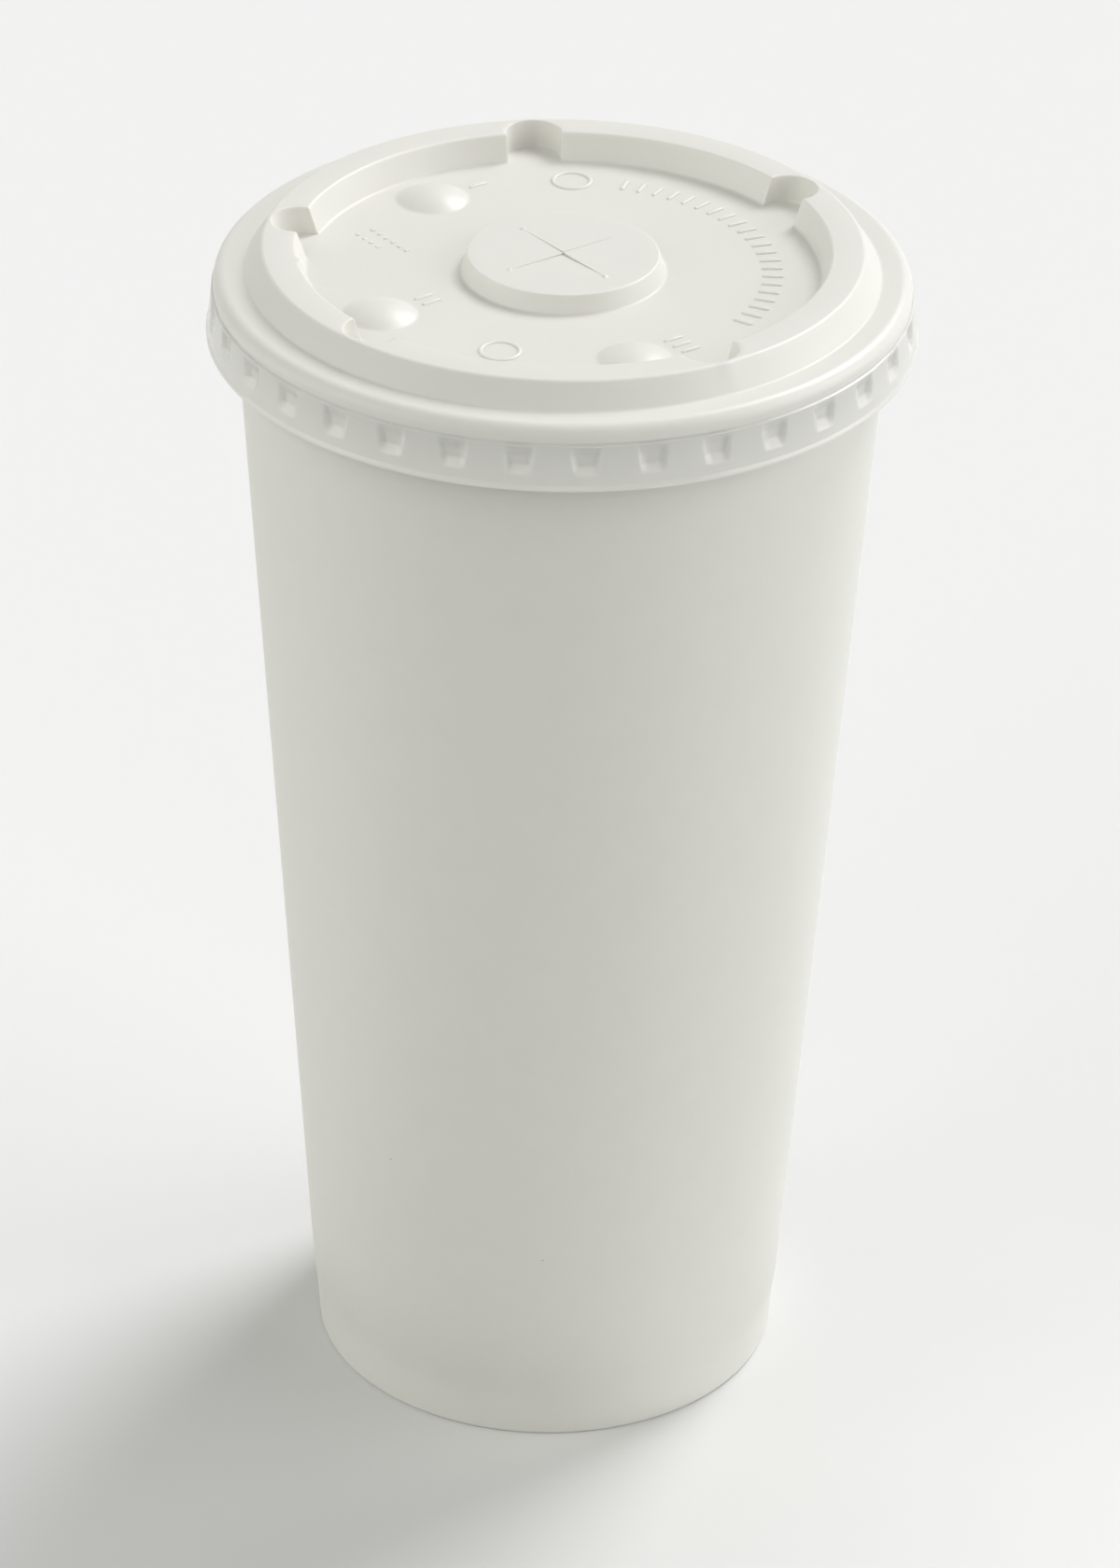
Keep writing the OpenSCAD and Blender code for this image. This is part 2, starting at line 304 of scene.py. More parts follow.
def mottle_group():
    """Cloudy colour, fine relief and rare specks, for board and for sheet."""
    name = "Mottle"
    if name in bpy.data.node_groups:
        return bpy.data.node_groups[name]
    group = new_group(
        name,
        [
            ("Colour", "NodeSocketColor", (0.8, 0.8, 0.8, 1)),
            ("Speck Colour", "NodeSocketColor", (0.55, 0.52, 0.47, 1)),
            ("Cloud Scale", "NodeSocketFloat", 220),
            ("Cloud Strength", "NodeSocketFloat", 0.03),
            ("Speck Scale", "NodeSocketFloat", 90),
            ("Speck Size", "NodeSocketFloat", 0.02),
            ("Roughness", "NodeSocketFloat", 0.5),
            ("Roughness Spread", "NodeSocketFloat", 0.06),
            ("Fibre Scale", "NodeSocketFloat", 1800),
        ],
        [("Colour", "NodeSocketColor"), ("Roughness", "NodeSocketFloat"), ("Height", "NodeSocketFloat")],
    )
    g = Grain(group)
    enter = g.node("NodeGroupInput")
    leave = g.node("NodeGroupOutput")
    place = g.node("ShaderNodeTexCoord")
    cloud = g.node("ShaderNodeTexNoise")
    cloud.inputs["Detail"].default_value = 3
    g.link(place.outputs["Object"], cloud.inputs["Vector"])
    g.link(enter.outputs["Cloud Scale"], cloud.inputs["Scale"])
    swing = g.node("ShaderNodeMath", operation="SUBTRACT")
    g.link(cloud.outputs["Fac"], swing.inputs[0])
    swing.inputs[1].default_value = 0.5
    amount = g.node("ShaderNodeMath", operation="MULTIPLY")
    g.link(swing.outputs[0], amount.inputs[0])
    g.link(enter.outputs["Cloud Strength"], amount.inputs[1])
    level = g.node("ShaderNodeMath", operation="ADD")
    g.link(amount.outputs[0], level.inputs[0])
    level.inputs[1].default_value = 1
    tint = g.node("ShaderNodeVectorMath", operation="SCALE")
    g.link(enter.outputs["Colour"], tint.inputs[0])
    g.link(level.outputs[0], tint.inputs["Scale"])
    cells = g.node("ShaderNodeTexVoronoi", feature="F1")
    g.link(place.outputs["Object"], cells.inputs["Vector"])
    g.link(enter.outputs["Speck Scale"], cells.inputs["Scale"])
    rim = g.node("ShaderNodeMath", operation="LESS_THAN")
    g.link(cells.outputs["Distance"], rim.inputs[0])
    g.link(enter.outputs["Speck Size"], rim.inputs[1])
    mix = g.node("ShaderNodeMix", data_type="RGBA")
    g.link(rim.outputs[0], mix.inputs["Factor"])
    g.link(tint.outputs[0], mix.inputs["A"])
    g.link(enter.outputs["Speck Colour"], mix.inputs["B"])
    g.link(mix.outputs["Result"], leave.inputs["Colour"])
    spread = g.node("ShaderNodeMath", operation="MULTIPLY_ADD")
    g.link(swing.outputs[0], spread.inputs[0])
    g.link(enter.outputs["Roughness Spread"], spread.inputs[1])
    g.link(enter.outputs["Roughness"], spread.inputs[2])
    g.link(spread.outputs[0], leave.inputs["Roughness"])
    fibre = g.node("ShaderNodeTexNoise")
    fibre.inputs["Detail"].default_value = 4
    g.link(place.outputs["Object"], fibre.inputs["Vector"])
    g.link(enter.outputs["Fibre Scale"], fibre.inputs["Scale"])
    g.link(fibre.outputs["Fac"], leave.inputs["Height"])
    return group


def surface_material(name, colour_value, settings, bump_strength, bump_height):
    """A Principled material whose colour, roughness and relief come from the mottle group."""
    material = bpy.data.materials.new(name)
    material.use_nodes = True
    material.diffuse_color = (*colour_value, 1)
    g = Grain(material.node_tree)
    out = g.node("ShaderNodeOutputMaterial")
    shader = g.node("ShaderNodeBsdfPrincipled")
    grain = g.node("ShaderNodeGroup")
    grain.node_tree = mottle_group()
    grain.inputs["Colour"].default_value = (*colour_value, 1)
    for key, value in settings.items():
        grain.inputs[key].default_value = value
    bump = g.node("ShaderNodeBump")
    bump.inputs["Strength"].default_value = bump_strength
    bump.inputs["Distance"].default_value = bump_height
    g.link(grain.outputs["Colour"], shader.inputs["Base Color"])
    g.link(grain.outputs["Roughness"], shader.inputs["Roughness"])
    g.link(grain.outputs["Height"], bump.inputs["Height"])
    g.link(bump.outputs["Normal"], shader.inputs["Normal"])
    g.link(shader.outputs["BSDF"], out.inputs["Surface"])
    return material, shader


def board_material(name, colour_value):
    """White coated board: matte, with a faint fibre mottle and rare dark specks."""
    material, shader = surface_material(
        name,
        colour_value,
        {"Cloud Scale": 260, "Cloud Strength": 0.035, "Speck Scale": 75, "Speck Size": 0.012,
         "Roughness": 0.5, "Roughness Spread": 0.1, "Fibre Scale": 1500},
        0.25,
        0.02 * MM,
    )
    shader.inputs["Specular IOR Level"].default_value = 0.4
    return material


def sheet_material(name, colour_value, subsurface, reach, shine):
    """Thin off-white plastic sheet with a satin face, which lets some light through."""
    material, shader = surface_material(
        name,
        colour_value,
        {"Cloud Scale": 60, "Cloud Strength": 0.02, "Speck Scale": 60, "Speck Size": 0.0,
         "Roughness": shine, "Roughness Spread": 0.08, "Fibre Scale": 350},
        0.1,
        0.02 * MM,
    )
    shader.inputs["IOR"].default_value = 1.5
    shader.inputs["Subsurface Weight"].default_value = subsurface
    shader.inputs["Subsurface Radius"].default_value = (1.0, 1.0, 1.0)
    shader.inputs["Subsurface Scale"].default_value = reach
    return material


def wall_radius(sizes, height):
    """Outer radius of the cone at a height, before crimping."""
    roll = (sizes.rim_out + sizes.board) / 2
    top = sizes.height - roll
    mouth = sizes.rim_radius - sizes.rim_out
    return sizes.base_radius + (mouth - sizes.base_radius) * height / top


def board_points(sizes):
    """Middle of the sidewall's board, from the hem's top edge to the tail of the rolled rim."""
    half = sizes.board / 2
    layers = sizes.board + sizes.disc_board + 2 * sizes.glue_gap + half
    foot = wall_radius(sizes, 0) - sizes.crimp_in
    hem_top = sizes.disc_top - sizes.disc_board - sizes.hem_clear
    hem_radius = wall_radius(sizes, hem_top) - sizes.crimp_in - layers
    bend = sizes.fold_inner + half
    points = [(hem_radius, hem_top)]
    for centre, start in ((foot - layers + bend, 180), (foot - half - bend, 270)):
        for step in range(7):
            angle = math.radians(start + 90 * step / 6)
            points.append((centre + bend * math.cos(angle), half + bend + bend * math.sin(angle)))
    crimp = sizes.crimp_height
    points.append((wall_radius(sizes, crimp * 0.5) - sizes.crimp_in - half, crimp * 0.5))
    points.append((wall_radius(sizes, crimp) - sizes.crimp_in - half, crimp))
    points.append((wall_radius(sizes, crimp + sizes.crimp_step) - half, crimp + sizes.crimp_step))
    roll = (sizes.rim_out + sizes.board) / 2
    middle = sizes.rim_radius - roll
    top = sizes.height - roll
    below = top - sizes.rim_side - roll
    for step in range(1, 13):
        height = crimp + sizes.crimp_step + (below - 1 * MM - crimp - sizes.crimp_step) * step / 12
        points.append((wall_radius(sizes, height) - half, height))
    points.append((wall_radius(sizes, top) - half, top))
    for step in range(1, 16):
        angle = math.radians(180 - 12 * step)
        points.append((middle + (roll - half) * math.cos(angle), top + (roll - half) * math.sin(angle)))
    for step in range(0, 11):
        angle = math.radians(-12 * step)
        points.append(
            (middle + (roll - half) * math.cos(angle), top - sizes.rim_side + (roll - half) * math.sin(angle))
        )
    return points


# Columns at the seam: their spacing, half the width of the overlap's crisp edge, and how many columns
# on either side follow the seam fully and how many at all
SEAM_SPACING = 0.6 * MM
SEAM_CRISP = 0.03 * MM
SEAM_HELD = 16
SEAM_FREE = 48
# Depth up to which a point counts as the outer face, heights between which the overlap starts at the
# table, and distances below the rim between which it ends
SEAM_FACE = 0.15 * MM
SEAM_FOOT = (0.05 * MM, 0.6 * MM)
SEAM_END = (1.2 * MM, 0.2 * MM)


def lay_seam(piece, sizes):
    """The wall's columns near the back run along the seam."""
    points = read_points(piece)
    radius = np.hypot(points[:, 0], points[:, 1])
    step = FULL_TURN / sizes.columns
    column = np.round((np.arctan2(points[:, 1], points[:, 0]) - math.pi / 2) / step)
    column = (column + sizes.columns / 2) % sizes.columns - sizes.columns / 2
    edge = sizes.seam_width / 2
    near = int(round(edge / SEAM_SPACING))
    across = -column * SEAM_SPACING
    across = np.where(column == -near, edge + SEAM_CRISP, across)
    across = np.where(column == 1 - near, edge - SEAM_CRISP, across)
    held = 1 - smooth(SEAM_HELD, SEAM_FREE, np.abs(column))
    held_angle = math.pi / 2 - np.arcsin(np.clip(across / radius, -0.9, 0.9))
    even_angle = math.pi / 2 + column * step
    angle = even_angle + held * (held_angle - even_angle)
    points[:, 0] = radius * np.cos(angle)
    points[:, 1] = radius * np.sin(angle)
    write_points(piece, points)


def raise_seam(piece, sizes):
    """The outer face of the overlap stands out by one board, with a crisp edge on one side."""
    points = read_points(piece)
    radius = np.hypot(points[:, 0], points[:, 1])
    roll = (sizes.rim_out + sizes.board) / 2
    top = sizes.height - 2 * roll - sizes.rim_side
    height = points[:, 2]
    face = wall_radius(sizes, height) - sizes.crimp_in - SEAM_FACE
    outer = (radius > face) & (points[:, 1] > 0) & (height < top)
    edge = sizes.seam_width / 2
    across = points[:, 0]
    lift = smooth(-edge - sizes.seam_fade, -edge, across) * (across < edge)
    lift = lift * smooth(*SEAM_FOOT, height)
    lift = lift * (1 - smooth(top - SEAM_END[0], top - SEAM_END[1], height))
    grown = radius + sizes.board * np.where(outer, lift, 0)
    points[:, 0] *= grown / radius
    points[:, 1] *= grown / radius
    write_points(piece, points)


class COLDCUP_OT_sidewall(Operator):
    """Rolls the cup's sidewall, with its rim, hem and side seam"""
    bl_idname = "coldcup.sidewall"
    bl_label = "Sidewall"

    def execute(self, context):
        sizes = context.scene.cold_cup
        piece = draw_path("sidewall", board_points(sizes))
        turn_path(piece, sizes.columns)
        lay_seam(piece, sizes)
        thicken(piece, sizes.board, 0)
        raise_seam(piece, sizes)
        material = board_material("coated_board", context.scene.cold_cup_colours.board)
        finish_piece(piece, "cup", material)
        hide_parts("cup_sidewall")
        return {"FINISHED"}


class COLDCUP_OT_base_disc(Operator):
    """Presses the base disc with its turned-down flange"""
    bl_idname = "coldcup.base_disc"
    bl_label = "Base disc"

    def execute(self, context):
        sizes = context.scene.cold_cup
        half = sizes.disc_board / 2
        inset = sizes.crimp_in + sizes.board + sizes.glue_gap + half
        top = sizes.disc_top - half
        shoulder = wall_radius(sizes, top) - inset
        foot = wall_radius(sizes, sizes.flange_low) - inset
        corners = [(0, top, 0, 0)]
        corners += [(shoulder * share, top, 0, 0) for share in (0.3, 0.6, 0.9)]
        corners += [(shoulder, top, 0.3 * MM, 5), (foot, sizes.flange_low, 0, 0)]
        piece = draw_path("base_disc_board", rounded(corners))
        turn_path(piece, sizes.columns // 2)
        thicken(piece, sizes.disc_board, 0)
        material = board_material("base_board", context.scene.cold_cup_colours.board)
        finish_piece(piece, "cup", material)
        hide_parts("base_disc")
        return {"FINISHED"}


# Directions around the lid, in degrees, and the numbers of repeated forms
BUTTON_TURNS = (130, 211, 290)
POCKET_TURNS = (32, 97, 170, 227, 302)
NIB_TURN = 190
LUG_COUNT = 34
LUG_COLUMNS = 14
LID_COLUMNS = LUG_COUNT * LUG_COLUMNS
POCKET_COLUMNS = 9
MARK_TURN = -53
# Radii of the rows across the boss's top, and heights of the rows down the skirt from its top
BOSS_ROWS = (0, 1.2, 2.6, 4.0, 5.4, 6.6, 7.6, 8.2, 8.4, 8.55, 8.7, 8.85, 9.0, 9.25, 10.2, 11.3)
SKIRT_ROWS = (-0.15, -0.5, -0.9, -1.25, -1.4, -2.0, -2.65, -2.8, -2.95, -3.4, -3.8, -3.9, -4.05, -4.6)
# Width of a dent's side wall, and heights over which its lower and upper end slope
LUG_SIDE = 0.45 * MM
LUG_SLOPE_LOW = 1.1 * MM
LUG_SLOPE_HIGH = 1.3 * MM
# Rise of the four flaps' tips, in millimetres, and of the slits' ends
FLAP_DROOP = [0.12, -0.02, -0.24, 0.07]
SLIT_END_RISE = 0.25 * MM
# Raised marks: bars, rows beside the buttons, curved row, circles with their inset and direction, and dots
MARK_WIDTH = 0.6 * MM
MARK_LENGTH = 2.8 * MM
TALLY_AWAY = 7.4 * MM
TALLY_PITCH = 1.8 * MM
ARC_BARS = 22
ARC_FROM = -32
ARC_SPAN = 105
CIRCLE_RADIUS = 2.5 * MM
CIRCLES = ((0, 88), (2 * MM, 252))
DOT_PLACE = Vector((-22.7, 7.8)) * MM
DOT_COUNT = 10
DOTS_A_ROW = 6
DOT_PITCH = 1.5 * MM
DOT_ROW_PITCH = 2.4 * MM
DOT_HEIGHT_SHARE = 0.7


class LidShape:
    """Heights and radii of the lid's upper surface, worked out from the cup and the lid's sizes."""

    def __init__(self, cup, lid):
        self.lid = lid
        self.start = lid.lug_turn
        self.seat = cup.height + lid.sheet
        self.panel = self.seat - lid.panel_drop
        self.ring = self.seat + lid.ring_height
        self.boss = self.panel + lid.boss_height
        self.lip = LID_LOW.z
        self.lip_radius = LID_HIGH.x
        self.bead = cup.rim_radius + lid.bead_fit + lid.sheet
        self.skirt = self.bead + lid.skirt_step
        self.lug_low = self.lip + lid.lug_rise
        self.lug_high = self.lug_low + lid.lug_height
        self.skirt_top = self.lug_high + 0.1 * MM
        self.lug_floor = cup.rim_radius + lid.lug_fit + lid.sheet
        self.pocket_middle = lid.ring_outer - lid.pocket_back - lid.pocket_radius
        self.panel_from = lid.boss_radius + lid.boss_draft + 0.6 * MM
        self.panel_to = lid.panel_radius - 0.6 * MM

    def skirt_radius(self, height):
        """Radius of the skirt between its top and the lip."""
        low = self.lip + self.lid.lip_height
        share = (self.skirt_top - height) / (self.skirt_top - low)
        return self.skirt + (self.lip_radius - self.lid.lip_out - self.skirt) * share

    def path(self):
        """Points of the upper surface from the axis out to the lip, before dents and pockets."""
        lid = self.lid
        corners = [(r * MM, self.boss, 0, 0) for r in BOSS_ROWS]
        corners.append((lid.boss_radius, self.boss, 0.28 * MM, 5))
        corners.append((lid.boss_radius + lid.boss_draft, self.panel, 0.35 * MM, 4))
        corners.append((self.panel_from, self.panel, 0, 0))
        corners.append((self.panel_to, self.panel, 0, 0))
        corners.append((lid.panel_radius, self.panel, 0.45 * MM, 4))
        corners.append((lid.ring_inner, self.ring, 0.45 * MM, 5))
        corners.append(((lid.ring_inner + lid.ring_outer) / 2, self.ring, 0, 0))
        corners.append((lid.ring_outer, self.ring, 0.7 * MM, 5))
        corners.append((lid.ring_foot, self.seat, 0.5 * MM, 5))
        corners.append((self.bead, self.seat, lid.bead_round, 10))
        corners.append((self.bead - 0.12 * MM, self.skirt_top + 0.1 * MM, 0.25 * MM, 3))
        corners.append((self.skirt, self.skirt_top, 0.15 * MM, 3))
        heights = [self.skirt_top + r * MM for r in SKIRT_ROWS]
        corners += [(self.skirt_radius(height), height, 0, 0) for height in heights]
        low = self.lip + lid.lip_height
        corners.append((self.skirt_radius(low), low, 0.3 * MM, 3))
        corners.append((self.lip_radius, self.lip + 0.3 * MM, 0.15 * MM, 2))
        corners.append((self.lip_radius, self.lip, 0, 0))
        return rounded(corners)

    def pocket_angle(self):
        """Half the angle that a pocket spans, seen from the axis."""
        return math.asin(self.lid.pocket_radius / self.pocket_middle)

    def pocket_reach(self, turns):
        """Radius of the ring's inner edge in each direction, pockets and nib included."""
        edge = np.full(len(turns), self.lid.ring_inner)
        middle, radius = self.pocket_middle, self.lid.pocket_radius
        for at in POCKET_TURNS:
            off = (turns - math.radians(at) + math.pi) % FULL_TURN - math.pi
            span = radius**2 - (middle * np.sin(off)) ** 2
            reach = middle * np.cos(off) + np.sqrt(np.maximum(span, 0))
            edge = np.where((span > 0) & (np.abs(off) < 1), np.maximum(edge, reach), edge)
        off = (turns - math.radians(NIB_TURN) + math.pi) % FULL_TURN - math.pi
        return edge - 0.45 * MM * (1 - smooth(0.4 * MM, 1.0 * MM, np.abs(off) * self.lid.ring_inner))


def ring_turns(shape, columns, even):
    """Directions of the columns at the ring, gathered so that each pocket has an even row of them."""
    shift = np.zeros(len(even))
    step = FULL_TURN / LID_COLUMNS
    for at in POCKET_TURNS:
        middle = np.round((math.radians(at) - shape.start) / step)
        number = (columns - middle + LID_COLUMNS / 2) % LID_COLUMNS - LID_COLUMNS / 2
        inside = shape.pocket_angle() * np.sin(np.clip(number / POCKET_COLUMNS, -1, 1) * math.pi / 2)
        beyond = np.sign(number) * np.maximum(np.abs(number) - POCKET_COLUMNS, 0) * step
        wanted = math.radians(at) + inside + beyond
        exact = shape.start + (middle + number) * step
        held = 1 - smooth(POCKET_COLUMNS + 1, POCKET_COLUMNS + 14, np.abs(number))
        shift += held * ((wanted - exact + math.pi) % FULL_TURN - math.pi)
    return even + shift


def form_pockets(shape, radius, turns, rows_in):
    """New radii of the rows around the ring, so that its inner wall runs round the pockets."""
    lid = shape.lid
    top = shape.pocket_reach(turns)
    depth = np.clip((top - lid.ring_inner) / lid.pocket_radius, 0, 1)
    draft = (lid.ring_inner - lid.panel_radius) * (1 - 0.6 * smooth(0, 0.5, depth))
    edge_from = lid.ring_outer - 0.45 * MM
    edge_to = np.maximum(edge_from, top + 0.12 * MM)
    flat = top - draft - (lid.panel_radius - shape.panel_to)
    knots = [(shape.panel_to, flat), (lid.panel_radius, top - draft), (lid.ring_inner, top)]
    knots += [(edge_from, edge_to), (lid.ring_foot, lid.ring_foot)]
    moved = radius.copy()
    for (low, new_low), (high, new_high) in zip(knots, knots[1:]):
        share = (radius - low) / (high - low)
        inside = rows_in & (radius >= low - 1e-7) & (radius <= high)
        moved = np.where(inside, new_low + (new_high - new_low) * share, moved)
    return moved


def add_buttons(piece, shape):
    """Domes of the push buttons, joined to the piece."""
    lid = shape.lid
    ball = (lid.button_radius**2 + lid.button_height**2) / (2 * lid.button_height)
    rise = [0.0, 0.12, 0.24, 0.36, 0.48, 0.6, 0.7, 0.8, 0.88]
    corners = [(lid.button_radius * s, shape.panel + lid.button_height - ball
                + math.sqrt(ball**2 - (lid.button_radius * s) ** 2), 0, 0) for s in rise]
    corners.append((lid.button_radius, shape.panel, 1.2 * MM, 5))
    corners.append((lid.button_radius + 0.6 * MM, shape.panel, 0, 0))
    domes = []
    for at in BUTTON_TURNS:
        dome = draw_path("dome", rounded(corners))
        turn_path(dome, 96)
        dome.location = (*around(lid.button_away, math.radians(at)), 0)
        apply_place(dome)
        domes.append(dome)
    activate(piece)
    for dome in domes:
        dome.select_set(True)
    bpy.ops.object.join()


def fill_panel(piece, shape):
    """The flat panel is filled between the boss, the ring and the buttons."""
    points = read_points(piece)
    mesh = piece.data
    level = np.abs(points[:, 2] - shape.panel) < 0.002 * MM
    for part in (mesh.vertices, mesh.edges, mesh.polygons):
        part.foreach_set("select", np.zeros(len(part), bool))
    used = np.zeros(len(mesh.loops), int)
    mesh.loops.foreach_get("edge_index", used)
    uses = np.bincount(used, minlength=len(mesh.edges))
    ends = np.zeros(len(mesh.edges) * 2, int)
    mesh.edges.foreach_get("vertices", ends)
    ends = ends.reshape(-1, 2)
    open_edges = (uses == 1) & level[ends].all(1)
    mesh.edges.foreach_set("select", open_edges)
    chosen = np.zeros(len(points), bool)
    chosen[ends[open_edges].ravel()] = True
    mesh.vertices.foreach_set("select", chosen)
    activate(piece)
    bpy.ops.object.mode_set(mode="EDIT")
    bpy.ops.mesh.select_mode(type="EDGE")
    bpy.ops.mesh.fill(use_beauty=True)
    bpy.ops.mesh.select_all(action="SELECT")
    bpy.ops.mesh.normals_make_consistent(inside=False)
    bpy.ops.object.mode_set(mode="OBJECT")


def clear_panel(piece, shape):
    """The long faces of the flat panel go, which leaves its inner and outer edge."""
    mesh = piece.data
    centres = np.zeros(len(mesh.polygons) * 3)
    mesh.polygons.foreach_get("center", centres)
    centres = centres.reshape(-1, 3)
    away = np.hypot(centres[:, 0], centres[:, 1])
    on_panel = (np.abs(centres[:, 2] - shape.panel) < 0.002 * MM)
    on_panel &= (away > shape.panel_from) & (away < shape.panel_to)
    for part in (mesh.vertices, mesh.edges):
        part.foreach_set("select", np.zeros(len(part), bool))
    mesh.polygons.foreach_set("select", on_panel)
    activate(piece)
    bpy.ops.object.mode_set(mode="EDIT")
    bpy.ops.mesh.select_mode(type="FACE")
    bpy.ops.mesh.delete(type="FACE")
    bpy.ops.object.mode_set(mode="OBJECT")


def form_lid(piece, shape):
    """Moves the spun surface's points to form pockets and dents, and lays columns along the straw cross."""
    lid = shape.lid
    points = read_points(piece)
    radius = np.hypot(points[:, 0], points[:, 1])
    height = points[:, 2].copy()
    step = FULL_TURN / LID_COLUMNS
    turn_now = np.arctan2(points[:, 1], points[:, 0])
    column = np.round(turn_now / step) % LID_COLUMNS
    even = shape.start + column * step
    cross = lid.slit_turn - shape.start
    cross_turns = even + (cross - round(cross / step) * step)
    gathered = ring_turns(shape, column, even)
    inner = radius < shape.panel_from + 0.1 * MM
    at_ring = (radius > shape.panel_to - 0.1 * MM) * (1 - smooth(lid.ring_foot, shape.bead, radius))
    on_skirt = height < shape.skirt_top + 0.2 * MM
    turns = even + inner * (cross_turns - even) + at_ring * (gathered - even) * ~on_skirt
    in_ring = (radius > shape.panel_to - 0.1 * MM) & (radius <= lid.ring_foot) & ~on_skirt
    radius = form_pockets(shape, radius, turns, in_ring)
    # Dents of the skirt, with columns gathered at their edges
    place = (column + LUG_COLUMNS / 2) % LUG_COLUMNS - LUG_COLUMNS / 2
    rise = np.clip((height - shape.lug_low) / lid.lug_height, 0, 1)
    half = (lid.lug_bottom + (lid.lug_top - lid.lug_bottom) * rise) / 2
    pitch = FULL_TURN * shape.skirt / LUG_COUNT
    spots = [0 * half, (half - LUG_SIDE) / 2, half - LUG_SIDE, half, half + 0.3 * MM,
             half + (pitch / 2 - half) * 0.45, half + (pitch / 2 - half) * 0.72, 0 * half + pitch / 2]
    across = np.select([np.abs(place) == i for i in range(8)], spots) * np.sign(place)
    lug_turns = even - place * step + across / shape.skirt
    turns = np.where(on_skirt & (height < shape.lug_high + 0.15 * MM), lug_turns, turns)
    across_share = np.select([np.abs(place) == i for i in range(4)], [1.0, 1.0, 0.97, 0.06], 0.0)
    down_share = np.clip((height - shape.lug_low) / LUG_SLOPE_LOW, 0, 1)
    down_share *= np.clip((shape.lug_high - height) / LUG_SLOPE_HIGH, 0, 1)
    deep = np.maximum(radius - shape.lug_floor, 0) * across_share * down_share
    radius = np.where(on_skirt, radius - deep, radius)
    points[:, 0] = radius * np.cos(turns)
    points[:, 1] = radius * np.sin(turns)
    write_points(piece, points)


def cut_cross(piece, shape):
    """Splits the boss's top along the straw cross and bends its flaps apart."""
    lid = shape.lid
    activate(piece)
    bpy.ops.object.mode_set(mode="EDIT")
    bpy.ops.mesh.select_mode(type="EDGE")
    bpy.ops.mesh.select_all(action="DESELECT")
    bpy.ops.object.mode_set(mode="OBJECT")
    points = read_points(piece)
    radius = np.hypot(points[:, 0], points[:, 1])
    angle = np.arctan2(points[:, 1], points[:, 0])
    quarter = math.pi / 2
    off = (angle - lid.slit_turn + quarter / 2) % quarter - quarter / 2
    near = 0.01 * MM
    on_arm = (np.abs(off) * radius < near) & (radius < lid.slit + near) & (points[:, 2] > shape.panel)
    on_arm |= radius < near
    for edge in piece.data.edges:
        edge.select = bool(on_arm[edge.vertices[0]] and on_arm[edge.vertices[1]])
    bpy.ops.object.mode_set(mode="EDIT")
    bpy.ops.mesh.edge_split(type="EDGE")
    bpy.ops.object.mode_set(mode="OBJECT")
    middle = np.zeros(len(piece.data.vertices))
    count = np.zeros(len(piece.data.vertices))
    points = read_points(piece)
    for face in piece.data.polygons:
        if math.hypot(face.center.x, face.center.y) < lid.slit + 0.5 * MM and face.center.z > shape.panel:
            corner = (math.atan2(face.center.y, face.center.x) - lid.slit_turn) % FULL_TURN
            for i in face.vertices:
                middle[i] = int(corner / quarter)
                count[i] += 1
    radius = np.hypot(points[:, 0], points[:, 1])
    flap_turn = lid.slit_turn + (middle + 0.5) * quarter
    along = points[:, 0] * np.cos(flap_turn) + points[:, 1] * np.sin(flap_turn)
    hinge = lid.slit / math.sqrt(2)
    free = np.clip(1 - along / hinge, 0, 1) * (count > 0) * (radius < lid.slit)
    droop = np.select([middle == k for k in range(4)], FLAP_DROOP) * MM
    points[:, 2] += droop * free
    away = lid.slit_gap / math.sqrt(2) * np.minimum(free * 4, 1)
    points[:, 0] += away * np.cos(flap_turn)
    points[:, 1] += away * np.sin(flap_turn)
    ends = np.zeros(len(points))
    for k in range(1, 4):
        at = lid.slit_turn + k * quarter
        away = np.hypot(points[:, 0] - lid.slit * math.cos(at), points[:, 1] - lid.slit * math.sin(at))
        ends = np.maximum(ends, 1 - smooth(0.05 * MM, 0.45 * MM, away))
    top = np.abs(points[:, 2] - shape.boss) < 0.7 * MM
    points[:, 2] += SLIT_END_RISE * ends * top
    write_points(piece, points)


class COLDCUP_OT_lid(Operator):
    """Moulds the lid from one sheet"""
    bl_idname = "coldcup.lid"
    bl_label = "Lid"

    def execute(self, context):
        shape = LidShape(context.scene.cold_cup, context.scene.cold_cup_lid)
        piece = draw_path("moulded_lid", shape.path())
        turn_path(piece, LID_COLUMNS)
        form_lid(piece, shape)
        clear_panel(piece, shape)
        add_buttons(piece, shape)
        fill_panel(piece, shape)
        cut_cross(piece, shape)
        thicken(piece, shape.lid.sheet, -1)
        shades = context.scene.cold_cup_colours
        crown = sheet_material("moulded_sheet", shades.sheet, subsurface=0.4, reach=0.6 * MM, shine=0.4)
        finish_piece(piece, "lid", crown, angle=55)
        drawn_sheet = sheet_material("drawn_sheet", shades.skirt, subsurface=0.9, reach=1.3 * MM, shine=0.22)
        piece.data.materials.append(drawn_sheet)
        centres = np.zeros(len(piece.data.polygons) * 3)
        piece.data.polygons.foreach_get("center", centres)
        height = centres.reshape(-1, 3)[:, 2]
        drawn = (height < shape.skirt_top + 0.3 * MM) & (height > shape.lip + 0.35 * MM)
        piece.data.polygons.foreach_set("material_index", drawn.astype(int))
        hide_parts("lid")
        return {"FINISHED"}


